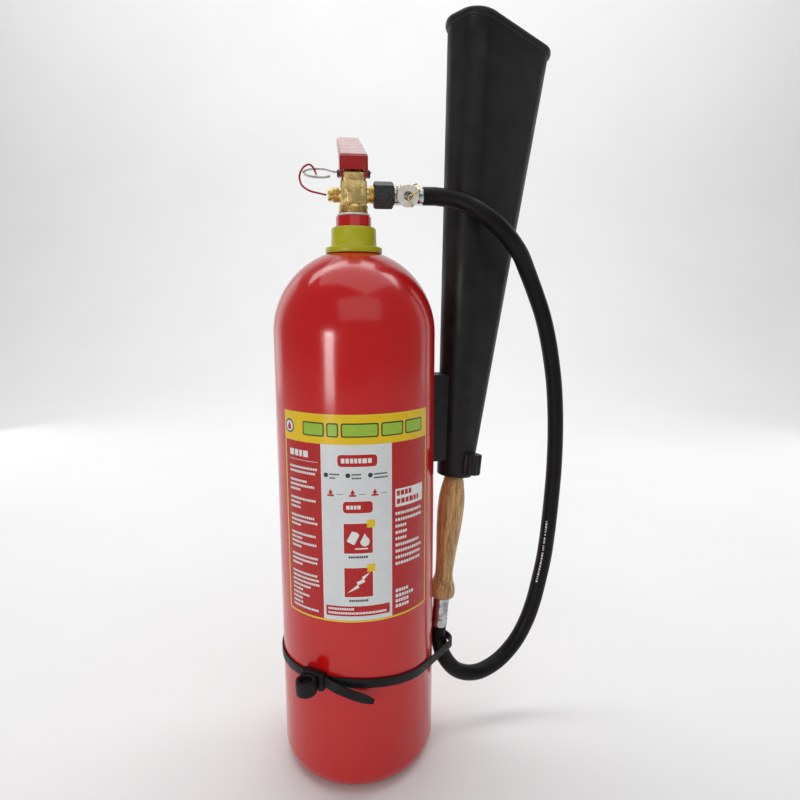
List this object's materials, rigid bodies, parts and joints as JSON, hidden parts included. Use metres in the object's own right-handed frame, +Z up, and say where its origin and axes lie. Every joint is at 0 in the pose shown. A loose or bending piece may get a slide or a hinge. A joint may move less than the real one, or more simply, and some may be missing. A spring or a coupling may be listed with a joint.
{
  "type": "fire extinguisher",
  "caption": "Portable carbon dioxide fire extinguisher: red steel cylinder, brass lever valve, rubber hose, wooden grip and flattened black discharge horn",
  "frame": {"origin": "centre of the flat base, on the cylinder's axis, where it stands on the floor", "axes": "+Z up along the cylinder; -Y is the labelled front; +X towards the hose and horn"},
  "size_m": [0.2992, 0.207, 0.7219],
  "materials": {
    "red_paint": "gloss",
    "label_film": "satin",
    "lever_red": "gloss",
    "handle_red": "gloss",
    "seal_red": "satin",
    "collar_green": "satin",
    "white_ptfe": "matte",
    "brass": "machined",
    "gland_brass": "machined",
    "spindle_steel": "turned",
    "spring_steel": "drawn",
    "pin_steel": "drawn",
    "nut_steel": "dark zinc",
    "ferrule_steel": "plated",
    "tube_steel": "drawn",
    "seal_rubber": "matte",
    "disc_copper": "rolled",
    "tag_plastic": "satin",
    "hose_rubber": "satin",
    "horn_black": "moulded grain",
    "holder_black": "matte",
    "tie_nylon": "satin",
    "dip_plastic": "matte",
    "turned_wood": "turned, clear lacquer"
  },
  "bodies": {
    "body": {"cylinder": "red_paint", "label": "label_film", "neck_collar": "collar_green", "neck_gasket": "white_ptfe", "dip_tube": "dip_plastic", "valve_body": "brass", "gland_nut": "gland_brass", "gland_seal": "seal_rubber", "spindle_spring": "spring_steel", "burst_disc": "disc_copper", "burst_disc_nut": "gland_brass", "carry_handle": "handle_red", "pivot_pin": "pin_steel", "outlet_gasket": "white_ptfe", "hose_stem": "tube_steel", "upper_ferrule": "ferrule_steel", "seal_washer": "tag_plastic", "seal_wire": "gland_brass", "discharge_hose": "hose_rubber", "wooden_grip": "turned_wood", "handle_tube": "tube_steel", "lower_ferrule": "ferrule_steel", "discharge_nozzle": "gland_brass", "horn": "horn_black", "horn_lug": "horn_black", "horn_holder": "holder_black", "cable_tie": "tie_nylon"},
    "lever": {"operating_lever": "lever_red"},
    "spindle": {"valve_spindle": "spindle_steel"},
    "pin": {"safety_pin": "pin_steel", "seal_strap": "seal_red"},
    "nut": {"union_nut": "nut_steel"}
  },
  "joints": [
    {"name": "lever_press", "type": "hinge", "parent": "body", "child": "lever", "pos_m": [0.0014, -0.01141, 0.5722], "axis": [-0.9925, -0.1219, 0], "range_deg": [0, 12], "stiffness_Nm_per_rad": 3, "springref_deg": -5.73},
    {"name": "spindle_slide", "type": "slide", "parent": "body", "child": "spindle", "axis": [0, 0, -1], "range_m": [0, 0.0036], "deforming": ["spindle_spring"]},
    {"name": "safety_pin_pull", "type": "slide", "parent": "body", "child": "pin", "axis": [-0.9925, -0.1219, 0], "range_m": [0, 0.04]},
    {"name": "union_nut_spin", "type": "hinge", "parent": "body", "child": "nut", "pos_m": [0, 0, 0.5565], "axis": [0.9925, 0.1219, 0], "continuous": true}
  ],
  "couplings": [
    {"joint": "spindle_slide", "follows": "lever_press", "m_per_rad": 0.01715}
  ]
}
